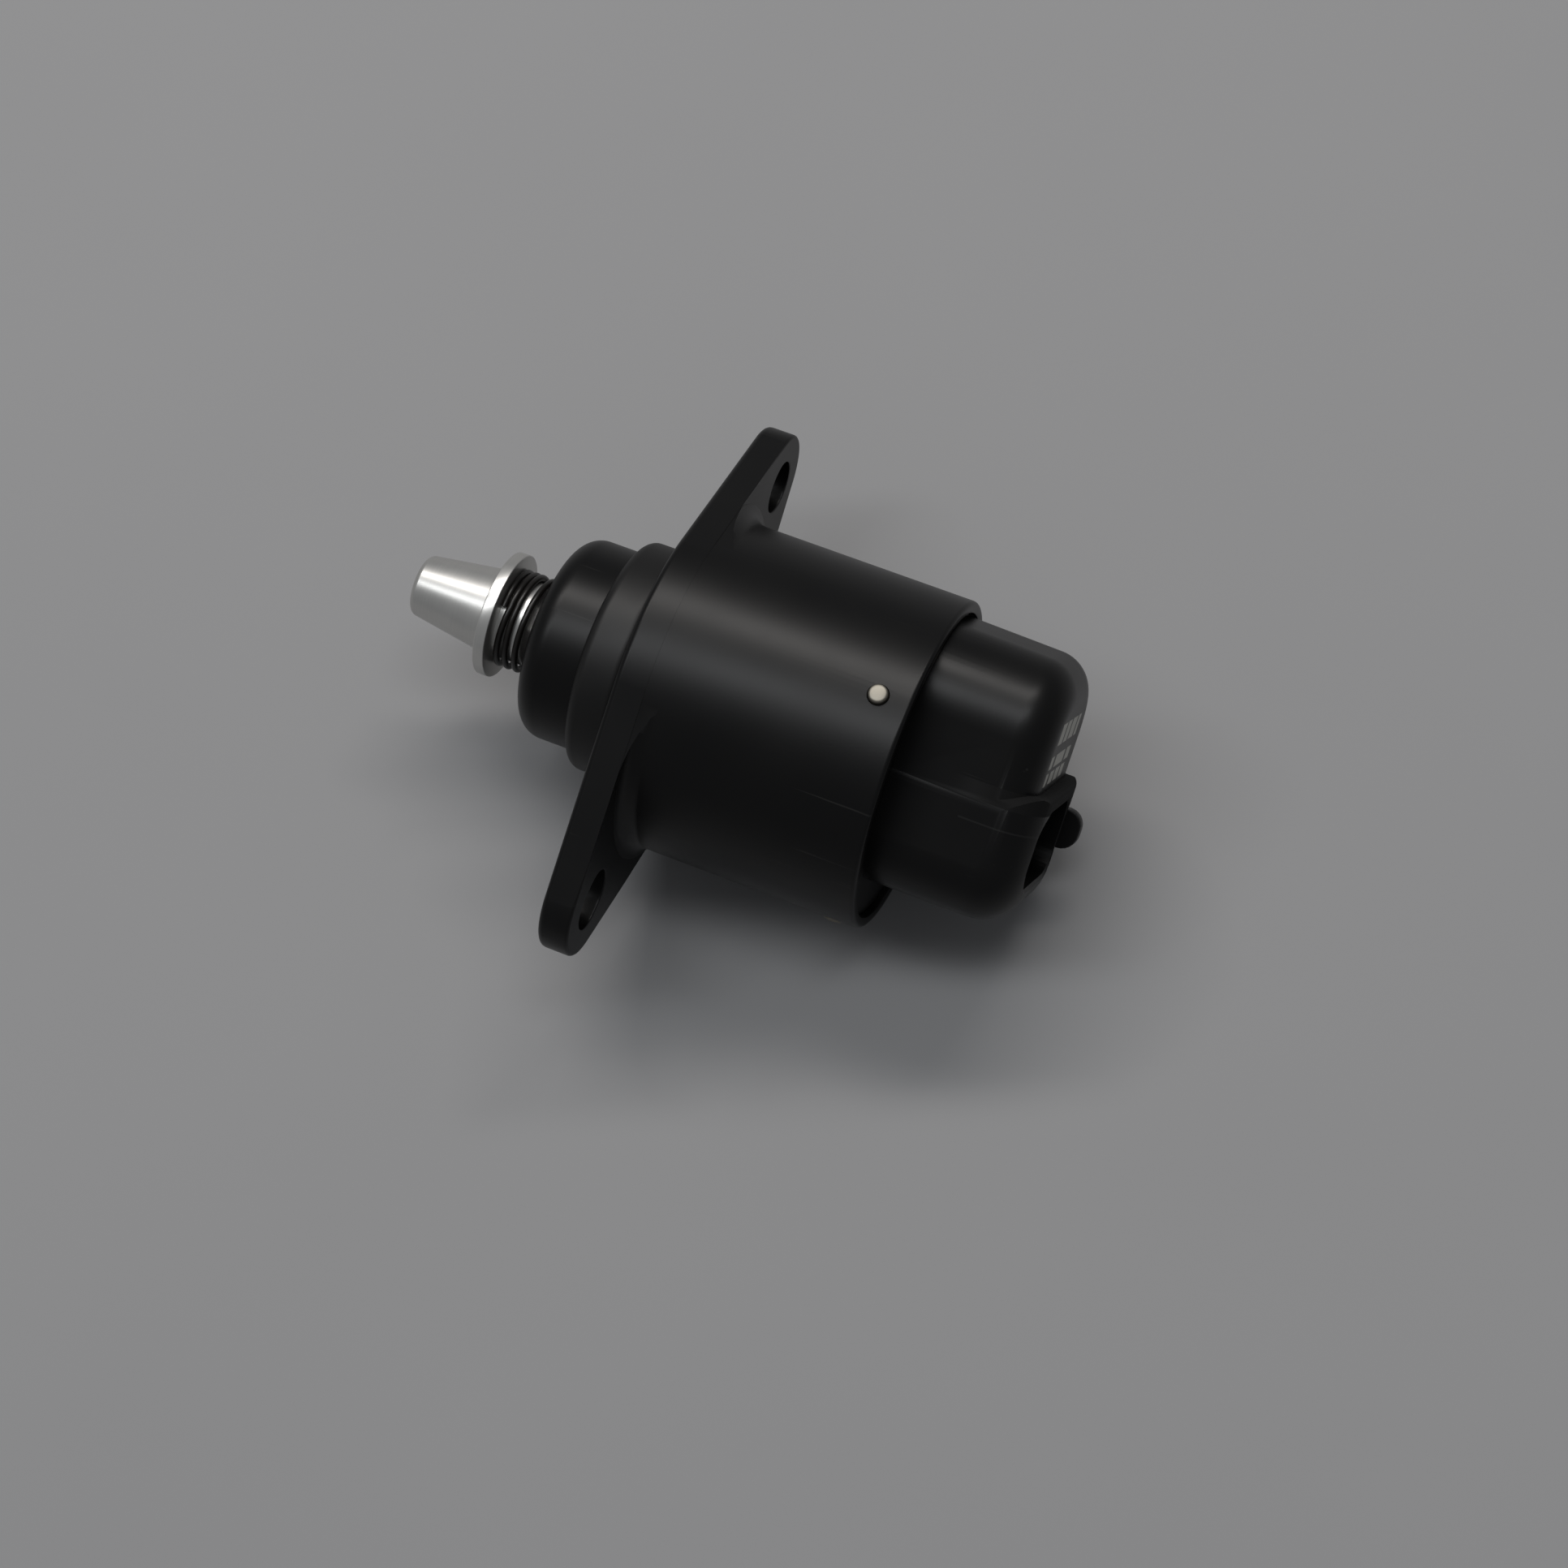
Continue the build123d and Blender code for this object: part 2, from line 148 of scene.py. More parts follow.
def round_rings(obj, rings):
    """Round circles about X, each given as (x, radius, width, segments)."""
    for x, r, width, segments in rings:

        def on_ring(a, b):
            return all(near(p.x, x) and near(axis_distance(p), r) for p in (a, b))

        bevel(obj, on_ring, width, segments)


print("turning helpers ready")

# %% [markdown]
# ## Boxes, rods and cutting
# The flange and the cap start as boxes and rods. Joining and cutting them uses the Boolean modifier,
# applied at once, so that each moulding ends as one closed skin.


# %% Box, rod and boolean helpers
def box(name, low, high):
    """A box between two corners in millimetres."""
    bpy.ops.object.select_all(action="DESELECT")
    bpy.ops.mesh.primitive_cube_add(size=1)
    obj = bpy.context.object
    obj.name = name
    obj.location = (Vector(low) + Vector(high)) / 2 * MM
    obj.scale = (Vector(high) - Vector(low)) * MM
    bpy.ops.object.transform_apply()
    return obj


def rod(name, radius, x0, x1, y=0.0, steps=192):
    """A rod along X in millimetres."""
    bpy.ops.object.select_all(action="DESELECT")
    bpy.ops.mesh.primitive_cylinder_add(
        vertices=steps,
        radius=radius * MM,
        depth=(x1 - x0) * MM,
        location=((x0 + x1) / 2 * MM, y * MM, 0),
        rotation=(0, math.pi / 2, 0),
    )
    obj = bpy.context.object
    obj.name = name
    bpy.ops.object.transform_apply()
    return obj


def combine(obj, tool, operation):
    """Apply a boolean with a second object, then delete that object."""
    only(obj)
    modifier = obj.modifiers.new("combine", "BOOLEAN")
    modifier.operation = operation
    modifier.object = tool
    modifier.solver = "EXACT"
    bpy.ops.object.modifier_apply(modifier=modifier.name)
    bpy.data.objects.remove(tool)


def hull(obj, *others):
    """Join rods and stretch one convex skin round them."""
    only(obj)
    for other in others:
        other.select_set(True)
    bpy.ops.object.join()
    bpy.ops.object.mode_set(mode="EDIT")
    bpy.ops.mesh.select_all(action="SELECT")
    bpy.ops.mesh.convex_hull()
    bpy.ops.mesh.select_all(action="SELECT")
    bpy.ops.mesh.dissolve_limited(angle_limit=math.radians(0.5))
    bpy.ops.object.mode_set(mode="OBJECT")
    return obj


print("box, rod and boolean helpers ready")

# %% [markdown]
# ## Finishing a mesh
# A moulding has flat faces and rounded edges. Smooth shading with a limit on the angle keeps the sharp
# creases, and weighted normals keep the large faces flat next to the narrow rounded strips.


# %% Finishing helper
def smooth(obj, angle=32):
    """Clean a skin and shade it; prints how closed it is."""
    only(obj)
    bpy.ops.object.mode_set(mode="EDIT")
    bpy.ops.mesh.select_all(action="SELECT")
    bpy.ops.mesh.remove_doubles(threshold=0.0005 * MM)
    bpy.ops.mesh.delete_loose()
    bpy.ops.mesh.select_all(action="SELECT")
    bpy.ops.mesh.normals_make_consistent(inside=False)
    skin = bmesh.from_edit_mesh(obj.data)
    open_edges = sum(len(e.link_faces) != 2 for e in skin.edges)
    bpy.ops.object.mode_set(mode="OBJECT")
    bpy.ops.object.shade_smooth_by_angle(angle=math.radians(angle))
    modifier = obj.modifiers.new("even normals", "WEIGHTED_NORMAL")
    modifier.keep_sharp = True
    bpy.ops.object.modifier_apply(modifier=modifier.name)
    print(obj.name, "faces", len(obj.data.polygons), "open edges", open_edges)


print("finishing helper ready")

# %% [markdown]
# ## Flange plate
# The flange is a flat plate whose outline runs round the body and out to two ears. Three rods under one
# convex skin give that outline with its straight flanks. The upper hole is round and the lower one is a
# short slot, which lets the screws take up a little error in the manifold.

# %% Flange plate
PLATE_R, PLATE_BACK, HOLE_R = 15.5, 3, 2.45
EARS = ((20.7, 5.0, 0.0), (-22.2, 5.4, 0.4))  # place along Y, radius, half the slot's extra length


def flange_outline(name, x0, x1, body_r, shrink=0.0):
    """One convex skin round the body and both ears."""
    body = rod(name, body_r, x0, x1)
    return hull(body, *[rod("ear", r - shrink, x0, x1, y) for y, r, half in EARS])


def near_hole(point, reach):
    return any(math.hypot(point.y - y, point.z) < reach for y, r, half in EARS)


def on_hole_rim(a, b):
    for p in (a, b):
        on_face = near(p.x, 0) or near(p.x, PLATE_BACK)
        if not near_hole(p, 3.0) or not on_face or not near(a.x, b.x):
            return False
    return True


plate = flange_outline("flange_plate", 0, PLATE_BACK, PLATE_R)
front_edges = bevel(plate, lambda a, b: near(a.x, 0) and near(b.x, 0), 0.6, 4)
for y, r, half in EARS:
    cutter = rod("hole", HOLE_R, -2, 5, y - half, 64)
    if half:
        cutter = hull(cutter, rod("hole", HOLE_R, -2, 5, y + half, 64))
    combine(plate, cutter, "DIFFERENCE")
rim_edges = bevel(plate, on_hole_rim, 0.18, 2)
combine(plate, rod("core", 8.0, -2, 5), "DIFFERENCE")
print("plate edges rounded", front_edges, "hole rim edges rounded", rim_edges)

# %% [markdown]
# ## Housing
# Nose, flange and tube are one moulding. The round part is turned with all its bores: the spring's bore
# in the nose, the seats of the wiper seal and the bearing, and the motor's tube. The nose ends in a
# 2.2 mm rounding. The tube starts inside the plate and is 0.02 mm slimmer, because a boolean works best
# where no two faces lie in the same place.

# %% Housing
NOSE_X, NOSE_R, SPRING_BORE = -10.6, 9.5, 5.2
GROOVE_X, GROOVE_R = -4.85, 8.4
LAND_X, LAND_R = -0.45, 11.0
TUBE_X, TUBE_R, TUBE_BORE = 25.25, 15.48, 14.4
housing = turn(
    "housing_moulding",
    [
        (NOSE_X, SPRING_BORE),
        (NOSE_X, NOSE_R),
        (GROOVE_X, NOSE_R),
        (GROOVE_X, GROOVE_R),
        (LAND_X, GROOVE_R),
        (LAND_X, LAND_R),
        (1.0, LAND_R),
        (1.0, 15.2),
        (2.8, 15.2),
        (2.8, TUBE_R),
        (TUBE_X, TUBE_R),
        (TUBE_X, TUBE_BORE),
        (3.2, TUBE_BORE),
        (3.2, 5.6),
        (-1.6, 5.6),
        (-1.6, 5.0),
        (-3.4, 5.0),
        (-3.4, 2.4),
        (-4.2, 2.4),
        (-4.2, 3.7),
        (-5.0, 3.7),
        (-5.0, SPRING_BORE),
    ],
)
round_rings(
    housing,
    [
        (NOSE_X, NOSE_R, 2.2, 12),
        (NOSE_X, SPRING_BORE, 0.3, 3),
        (GROOVE_X, NOSE_R, 0.2, 3),
        (LAND_X, LAND_R, 0.15, 2),
        (TUBE_X, TUBE_R, 0.4, 4),
        (TUBE_X, TUBE_BORE, 0.2, 2),
    ],
)
combine(housing, plate, "UNION")
print("housing joined, faces", len(housing.data.polygons))

# %% [markdown]
# The back edges of the ears are softened, and the corner where each ear leaves the tube is filled with a
# hollow sweep, as a mould needs: a turned ring, cut to the flange's outline. Three holes through the tube
# wall take the pins that hold the cap.


# %% Ear edges, ear roots and pin holes
PIN_X, PIN_FIRST, PIN_STEP = 22.2, 91.5, 116.5


def on_ear_back(a, b):
    for p in (a, b):
        if not near(p.x, PLATE_BACK) or axis_distance(p) < 15.7 or near_hole(p, 3.2):
            return False
    return True


back_edges = bevel(housing, on_ear_back, 0.3, 3)
root = turn(
    "ear_root",
    [(2.5, 15.0), (2.5, 17.0), (3.02, 17.0), (3.1, 16.6), (3.3, 16.15), (3.65, 15.8), (4.2, 15.56)]
    + [(4.8, 15.45), (4.8, 15.0)],
)
combine(root, flange_outline("clip", 2, 6, PLATE_R - 0.04, 0.03), "INTERSECT")
combine(housing, root, "UNION")
for i in range(3):
    turned = math.radians(PIN_FIRST + PIN_STEP * i)
    bpy.ops.object.select_all(action="DESELECT")
    bpy.ops.mesh.primitive_cylinder_add(
        vertices=48,
        radius=1.0 * MM,
        depth=4 * MM,
        location=(PIN_X * MM, PLATE_R * MM * math.cos(turned), PLATE_R * MM * math.sin(turned)),
        rotation=(turned - math.pi / 2, 0, 0),
    )
    combine(housing, bpy.context.object, "DIFFERENCE")
smooth(housing)
print("ear back edges rounded", back_edges)

# %% [markdown]
# ## Seal ring
# A broad rubber band sits in the groove between the nose and the flange. Its outer edges are well rounded,
# which leaves a dark crease against the nose in front and against the flange behind.

# %% Seal ring
SEAL_R, SEAL_GAP = 10.9, 0.01
front, back, inner = GROOVE_X + SEAL_GAP, LAND_X - SEAL_GAP, GROOVE_R + SEAL_GAP
seal = turn("nose_seal", [(front, inner), (front, SEAL_R), (back, SEAL_R), (back, inner)], steps=160)
round_rings(seal, [(front, SEAL_R, 1.0, 7), (back, SEAL_R, 1.0, 7)])
smooth(seal, 60)

# %% [markdown]
# ## Pintle
# The pintle is turned from aluminium: a blunt cone that shuts the air passage, a narrow neck, a collar that
# takes the spring, and a short boss inside the first coils. It is bored from behind for the screw.

# %% Pintle
TIP_X, TIP_R = -24.0, 2.82
CONE_X, CONE_R, NECK_R = -16.3, 4.0, 3.6
COLLAR_X, COLLAR_BACK, COLLAR_R = -16.1, -15.0, 5.87
BOSS_X, BOSS_R = -12.2, 3.85
SCREW_X, SCREW_R = -21.0, 2.0
pintle = turn(
    "pintle_cone",
    [
        (TIP_X, 0),
        (TIP_X, TIP_R),
        (CONE_X, CONE_R),
        (CONE_X, NECK_R),
        (COLLAR_X, NECK_R),
        (COLLAR_X, COLLAR_R),
        (COLLAR_BACK, COLLAR_R),
        (COLLAR_BACK, BOSS_R),
        (BOSS_X, BOSS_R),
        (BOSS_X, SCREW_R),
        (SCREW_X, SCREW_R),
        (SCREW_X, 0),
    ],
    closed=False,
    steps=160,
)
round_rings(
    pintle,
    [
        (TIP_X, TIP_R, 0.55, 6),
        (CONE_X, CONE_R, 0.06, 2),
        (COLLAR_X, COLLAR_R, 0.14, 3),
        (COLLAR_BACK, COLLAR_R, 0.14, 3),
        (BOSS_X, BOSS_R, 0.3, 3),
    ],
)
smooth(pintle, 28)

# %% [markdown]
# ## Return spring
# The spring presses the pintle outwards and takes up the screw's play. A small circle drawn along a
# helix by the Screw modifier makes the wire. Real springs have close end turns, so the turns are then
# moved along X: tight for just over two turns at the collar, tight for one at the seat, and even between.

# %% Return spring
WIRE_R, COIL_R, TURNS, COLLAR_TURNS, SEAT_TURNS = 0.30, 4.32, 9.4, 2.2, 1.0
COIL_START, COIL_END, CLOSE_PITCH = -14.68, -5.32, 0.61
RING, WIRE_STEPS = 20, 760
open_turns = TURNS - COLLAR_TURNS - SEAT_TURNS
open_pitch = (COIL_END - COIL_START - (TURNS - open_turns) * CLOSE_PITCH) / open_turns
FIRST_TURN = math.radians(100)


def coil_x(turns):
    """Where the wire's middle is after that many turns; the first turn hugs the collar."""
    opened = min(max(turns - COLLAR_TURNS, 0), open_turns)
    closed = turns**4 if turns < 1 else turns - opened
    return COIL_START + CLOSE_PITCH * closed + open_pitch * opened


bpy.ops.object.select_all(action="DESELECT")
bpy.ops.mesh.primitive_circle_add(vertices=RING, radius=WIRE_R * MM, location=(0, COIL_R * MM, 0))
spring = bpy.context.object
spring.name = "coil_spring"
bpy.ops.object.transform_apply()
screw = spring.modifiers.new("coil", "SCREW")
screw.axis = "X"
screw.angle = -2 * math.pi * TURNS
screw.screw_offset = TURNS * MM
screw.steps = WIRE_STEPS
screw.render_steps = WIRE_STEPS
screw.use_normal_calculate = True
bpy.ops.object.modifier_apply(modifier=screw.name)
print("spring wire vertices", len(spring.data.vertices), "open pitch", round(open_pitch, 3))

# %% [markdown]
# The modifier winds evenly with a 1 mm pitch, so a vertex tells its own turn from its number along the
# wire. The two open ends are filled last.

# %% Wind the spring to its real pitch
for index, vert in enumerate(spring.data.vertices):
    turns = (index // RING) / WIRE_STEPS * TURNS
    vert.co.x += (coil_x(turns) - turns) * MM
spring.data.transform(Matrix.Rotation(FIRST_TURN, 4, "X"))
only(spring)
bpy.ops.object.mode_set(mode="EDIT")
bpy.ops.mesh.select_all(action="SELECT")
bpy.ops.mesh.fill_holes(sides=0)
bpy.ops.object.mode_set(mode="OBJECT")
smooth(spring, 50)
xs = [v.co.x / MM for v in spring.data.vertices]
print("spring from", round(min(xs), 2), "to", round(max(xs), 2))

# %% [markdown]
# ## Cap: upper box
# The cap is drawn in its own directions and turned at the end, because the whole cap sits 120 degrees
# round from the flange. Along X the box has 7 mm corners and tapers slightly, and its rear edge is
# rounded by 3.4 mm all round.


# %% Cap box
def taper(obj, x, middle, wide, high):
    """Scale one end, at x in millimetres, about a height."""
    for vert in obj.data.vertices:
        if near(vert.co.x / MM, x):
            vert.co.y *= wide
            vert.co.z = (vert.co.z - middle * MM) * high + middle * MM


CAP_TURN = math.radians(120)
CAP_FRONT, BOX_BACK, BOX_MIDDLE = 24.4, 37.1, -1.625
cap = box("connector_cap", (CAP_FRONT, -9.4, -13.8), (BOX_BACK, 9.4, 10.55))
bevel(cap, lambda a, b: not near(a.x, b.x), 7.0, 20)
taper(cap, BOX_BACK, BOX_MIDDLE, 0.973, 0.979)
bevel(cap, lambda a, b: near(a.x, BOX_BACK) and near(b.x, BOX_BACK), 3.4, 16)
print("cap box faces", len(cap.data.polygons))

# %% [markdown]
# ## Cap: connector block
# The block with the plug socket is slightly wider than the box, which leaves the fine ridge along the
# cap's side, and stands 1.35 mm behind it. It is what three rounded boxes have in common: one gives the
# soft upper edges, one the rim's top edge, and one the large rounding of the sides and the underside.

# %% Connector block
RIM_X, BLOCK_TOP, BLOCK_LOW, BLOCK_HALF, HAIR = 38.45, -2.45, 10.35, 9.55, 0.01
block = box("connector_block", (CAP_FRONT, -BLOCK_HALF, BLOCK_TOP), (RIM_X + 1, BLOCK_HALF, BLOCK_LOW + 5))
bevel(block, lambda a, b: not near(a.x, b.x) and near(a.z, BLOCK_TOP), 2.2, 8)
rim = box("rim_edge", (20, -15, BLOCK_TOP - HAIR), (RIM_X, 15, BLOCK_LOW + 10))
bevel(rim, lambda a, b: min(a.x, b.x) > 30 and max(a.z, b.z) < 0, 0.8, 5)
under = box("underside", (20, -BLOCK_HALF - HAIR, -15), (RIM_X + HAIR, BLOCK_HALF + HAIR, BLOCK_LOW))
bevel(under, lambda a, b: not near(a.x, b.x) and near(a.z, BLOCK_LOW), 5.8, 16)
bevel(under, lambda a, b: min(a.x, b.x) > 30 and max(a.z, b.z) > -14, 4.3, 16)
for shape in (rim, under):
    combine(block, shape, "INTERSECT")
print("block faces", len(block.data.polygons))

# %% [markdown]
# ## Cap: plug and latch tab
# Behind the motor the cap has a round plug with a bore for the rear bush and a groove for its seal. It is
# turned like the housing. A tab beside the socket's mouth catches the harness plug. It is a small box
# whose outer corners are rounded, and all the parts are joined to the box by union.

# %% Cap plug and latch tab
PLUG_R, PLUG_END, SEAT_R, SEAT_FLOOR, PLUG_FRONT = 14.38, 24.6, 4.6, 23.0, 20.6
plug = turn(
    "cap_plug",
    [
        (SEAT_FLOOR, 0),
        (SEAT_FLOOR, SEAT_R),
        (PLUG_FRONT, SEAT_R),
        (PLUG_FRONT, PLUG_R),
        (23.25, PLUG_R),
        (23.25, 13.4),
        (24.25, 13.4),
        (24.25, PLUG_R),
        (PLUG_END, PLUG_R),
        (PLUG_END, 0),
    ],
    closed=False,
)
round_rings(plug, [(PLUG_END, PLUG_R, 0.15, 2)])
TAB_X = 39.9
tab = box("latch_tab", (36.6, -8.3, 0.45), (TAB_X, -6.9, 4.2))
bevel(tab, lambda a, b: near(a.x, TAB_X) and near(b.x, TAB_X) and a.z > 3 and b.z > 3, 1.6, 6)
bevel(tab, lambda a, b: near(a.x, TAB_X) and near(b.x, TAB_X) and a.z < 1 and b.z < 1, 1.5, 6)
bevel(tab, lambda a, b: near(a.y, b.y) and max(a.x, b.x) > 37.5, 0.18, 2)
for piece in (block, plug, tab):
    combine(cap, piece, "UNION")
print("cap joined, faces", len(cap.data.polygons))

# %% [markdown]
# ## Cap: socket
# The harness plug goes into a deep pocket with rounded corners, and its mouth flares a little to guide the
# plug in. Two boxes cut both shapes, the second one wider at its outer end. That leaves a cleaner mouth
# than a bevel after the cut. The whole cap is then turned to its place.


# %% Socket, and the cap turned to its place
def socket_box(name, x0, x1, gap=0.0):
    """A box round the socket's middle with rounded long edges."""
    wide, high = 6.5 - gap, 3.6 - gap
    obj = box(name, (x0, -wide, SOCKET_MIDDLE - high), (x1, wide, SOCKET_MIDDLE + high))
    bevel(obj, lambda a, b: not near(a.x, b.x), 2.4 - gap, 8)
    return obj


SOCKET_FLOOR, SOCKET_MIDDLE = 28.85, 2.75
combine(cap, socket_box("socket", SOCKET_FLOOR, 45.0), "DIFFERENCE")
flare = socket_box("flare", RIM_X - 0.3, RIM_X + 0.1, 0.02)
taper(flare, RIM_X + 0.1, SOCKET_MIDDLE, 1.062, 1.112)
combine(cap, flare, "DIFFERENCE")
cap.rotation_euler = (CAP_TURN, 0, 0)
only(cap)
bpy.ops.object.transform_apply()
smooth(cap)
print("cap turned, faces", len(cap.data.polygons))

# %% [markdown]
# ## Retaining pins
# Three bright pins go through the tube into the cap. One pin is a rod whose outer rim is rounded and whose
# end is drawn in and raised a little. It is modelled once, standing on the axis, then copied and turned.

# %% Retaining pins
PIN_R, PIN_LONG, PIN_TOP = 0.9, 3.65, 15.95
pins = []
for i in range(3):
    bpy.ops.object.select_all(action="DESELECT")
    bpy.ops.mesh.primitive_cylinder_add(
        vertices=48,
        radius=PIN_R * MM,
        depth=PIN_LONG * MM,
        location=(PIN_X * MM, 0, (PIN_TOP - PIN_LONG / 2) * MM),
    )
    pin = bpy.context.object
    pin.name = "cap_pins"
    bpy.ops.object.transform_apply()
    bevel(pin, lambda a, b: near(a.z, PIN_TOP) and near(b.z, PIN_TOP), 0.26, 4)
    only(pin)
    bpy.ops.object.mode_set(mode="EDIT")
    bpy.ops.mesh.select_mode(type="FACE")
    bpy.ops.mesh.select_all(action="DESELECT")
    skin = bmesh.from_edit_mesh(pin.data)
    for face in skin.faces:
        face.select_set(near(face.calc_center_median().z / MM, PIN_TOP, 0.001))
    bmesh.update_edit_mesh(pin.data)
    bpy.ops.mesh.inset(thickness=0.2 * MM)
    bpy.ops.transform.translate(value=(0, 0, 0.03 * MM))
    bpy.ops.object.mode_set(mode="OBJECT")
    pin.data.transform(Matrix.Rotation(math.radians(PIN_FIRST + PIN_STEP * i - 90), 4, "X"))
    pins.append(pin)
only(pins[0])
for pin in pins[1:]:
    pin.select_set(True)
bpy.ops.object.join()
pins = pins[0]
smooth(pins, 40)

# %% [markdown]
# ## Bodies
# Each new piece but the spring moves with a body of the CAD part, and each hides the CAD piece that it
# stands for. The spring is held by the nose at one end and by the pintle's collar at the other; here it is
# on no body and stays where it is drawn.

# %% Put the pieces on their bodies
PIECES = [
    (housing, "housing", "black_plastic", "flange_housing"),
    (seal, "housing", "seal_rubber", "seal_ring"),
    (cap, "housing", "black_plastic", "rear_cap"),
    (pins, "housing", "bright_steel", "retaining_pins"),
    (pintle, "plunger", "turned_aluminium", "pintle"),
    (spring, "", "black_spring_wire", "return_spring"),
]
for piece, body, slot, node in PIECES:
    if body:
        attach(piece, body)
    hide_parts(node)
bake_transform(spring)
print("new pieces", [piece.name for piece, body, slot, node in PIECES])

# %% [markdown]
# ## Shader formulas
# Every finish is made of noise, bands and specks placed by the object's own coordinates, so it stays on
# the piece when the piece moves. A small class lets shader values be added and multiplied like numbers,
# and one method adds any other node.


# %% Shader helpers
class Value:
    """A shader output that takes part in sums."""

    def __init__(self, finish, socket):
        self.finish = finish
        self.socket = socket

    def sum(self, operation, first, second):
        return self.finish.add("ShaderNodeMath", {"operation": operation}, {0: first, 1: second})

    def __add__(self, other):
        return self.sum("ADD", self, other)

    def __radd__(self, other):
        return self.sum("ADD", other, self)

    def __sub__(self, other):
        return self.sum("SUBTRACT", self, other)

    def __mul__(self, other):
        return self.sum("MULTIPLY", self, other)

    def above(self, limit):
        return self.sum("GREATER_THAN", self, limit)

    def below(self, limit):
        return self.sum("LESS_THAN", self, limit)


class Finish:
    """One material with its shader and its object coordinates."""

    def __init__(self, name):
        self.material = bpy.data.materials.new(name)
        self.material.use_nodes = True
        self.tree = self.material.node_tree
        self.shader = self.tree.nodes["Principled BSDF"]
        self.place = self.add("ShaderNodeTexCoord", out="Object")

    def put(self, socket, value):
        if isinstance(value, Value):
            self.tree.links.new(value.socket, socket)
        else:
            socket.default_value = value

    def add(self, kind, settings=None, inputs=None, out=0):
        node = self.tree.nodes.new(kind)
        for key, value in (settings or {}).items():
            setattr(node, key, value)
        for key, value in (inputs or {}).items():
            self.put(node.inputs[key], value)
        return Value(self, node.outputs[out])

    def set(self, sockets):
        for key, value in sockets.items():
            self.put(self.shader.inputs[key], value)

    def stretch(self, x, y, z):
        return self.add("ShaderNodeVectorMath", {"operation": "MULTIPLY"}, {0: self.place, 1: (x, y, z)})

    def noise(self, scale, detail=2.0, place=None):
        return self.add(
            "ShaderNodeTexNoise", {}, {"Vector": place or self.place, "Scale": scale, "Detail": detail}
        )

    def ramp(self, value, low, high):
        return self.add(
            "ShaderNodeMapRange",
            {"interpolation_type": "SMOOTHSTEP"},
            {"Value": value, "From Min": low, "From Max": high},
        )

    def mix(self, factor, first, second):
        return self.add("ShaderNodeMix", {"data_type": "RGBA"}, {0: factor, 6: first, 7: second}, 2)

    def axes(self):
        parts = self.tree.nodes.new("ShaderNodeSeparateXYZ")
        self.put(parts.inputs[0], self.place)
        return [Value(self, out) for out in parts.outputs]

    def bump(self, height, strength, distance):
        return self.add(
            "ShaderNodeBump", {}, {"Height": height, "Strength": strength, "Distance": distance}
        )


print("shader helpers ready")

# %% [markdown]
# ## Black plastic
# The housing and the cap are moulded in black glass-filled nylon. It is satin, not glossy: the lamp makes
# a broad grey band on the tube. The gloss wanders slightly, the skin has a very fine grain, and there are
# a few hairline scratches along the tube and some pale dust.


# %% Black plastic
def black_plastic(name, marks=False):
    finish = Finish(name)
    cloud = finish.noise(110, 4)
    grain = finish.noise(5200, 2)
    hair = finish.noise(1, 3, finish.stretch(60, 1900, 1900))
    scratch = finish.ramp(hair, 0.70, 0.78)
    cells = {"Vector": finish.place, "Scale": 520}
    speck = finish.add("ShaderNodeTexVoronoi", {}, cells, "Distance")
    chance = finish.add("ShaderNodeTexVoronoi", {}, cells, "Color")
    dust = speck.below(0.075) * chance.above(0.86)
    colour = finish.mix(cloud, (0.0017, 0.0017, 0.0019, 1), (0.0029, 0.0028, 0.0027, 1))
    colour = finish.mix(scratch * 0.35, colour, (0.030, 0.029, 0.027, 1))
    colour = finish.mix(dust * 0.5, colour, (0.16, 0.15, 0.13, 1))
    rough = 0.31 + cloud * 0.10 + dust * 0.3
    if marks:
        print_marks, painted_ridge_highlight, ledge = cap_details(finish)
        colour = finish.mix(print_marks, colour, (0.36, 0.355, 0.32, 1))
        # A thin lighter line along the block's side is a painted highlight: colour standing in for light
        # caught by a fine moulding line.
        colour = finish.mix(painted_ridge_highlight, colour, (0.008, 0.008, 0.008, 1))
        rough = rough + ledge * 0.5
    finish.set(
        {
            "Base Color": colour,
            "Roughness": rough,
            "Normal": finish.bump(grain + scratch * -0.4, 0.10, 0.00002),
            "Specular IOR Level": 0.20,
        }
    )
    return finish.material


def cap_details(finish):
    """Plain dashes where the photograph has a small print, a painted highlight line on the block's side,
    and its matt ledge.
    """
    x, y, z = finish.axes()
    u = y * math.cos(CAP_TURN) + z * math.sin(CAP_TURN)
    v = z * math.cos(CAP_TURN) - y * math.sin(CAP_TURN)
    inside = x.above((BOX_BACK - 0.2) * MM) * u.above(-3.45 * MM) * u.below(5.8 * MM)
    rows = 0
    for low, high, shift in ((-8.9, -6.9, 0.0), (-5.9, -4.7, 7.3), (-4.3, -3.1, 3.1)):
        place = finish.add("ShaderNodeCombineXYZ", {}, {0: u * 800 + shift})
        dash = finish.noise(1, 0, place).above(0.42)
        rows = v.above(low * MM) * v.below(high * MM) * dash + rows
    # This narrow band is painted lighter as a painted highlight, as if a fine moulding line on the block
    # caught the light.
    painted_ridge_highlight = x.above(31.4 * MM) * u.above(0) * v.above(0.93 * MM) * v.below(1.08 * MM)
    ledge = finish.ramp(x, 29.5 * MM, 34.5 * MM) * v.above(-2.48 * MM) * v.below(-0.9 * MM)
    return inside * rows, painted_ridge_highlight, ledge


FINISH = {"black_plastic": black_plastic("black_plastic")}
cap_plastic = black_plastic("black_plastic_cap", marks=True)
print("black plastic made")

# %% [markdown]
# ## Rubber, wire and light plastics
# The seals are smooth black rubber with a faint bloom. The spring wire is blackened and oiled, so it is
# darker and glossier than the plastic. The bobbins and the rotor's hub are natural nylon.


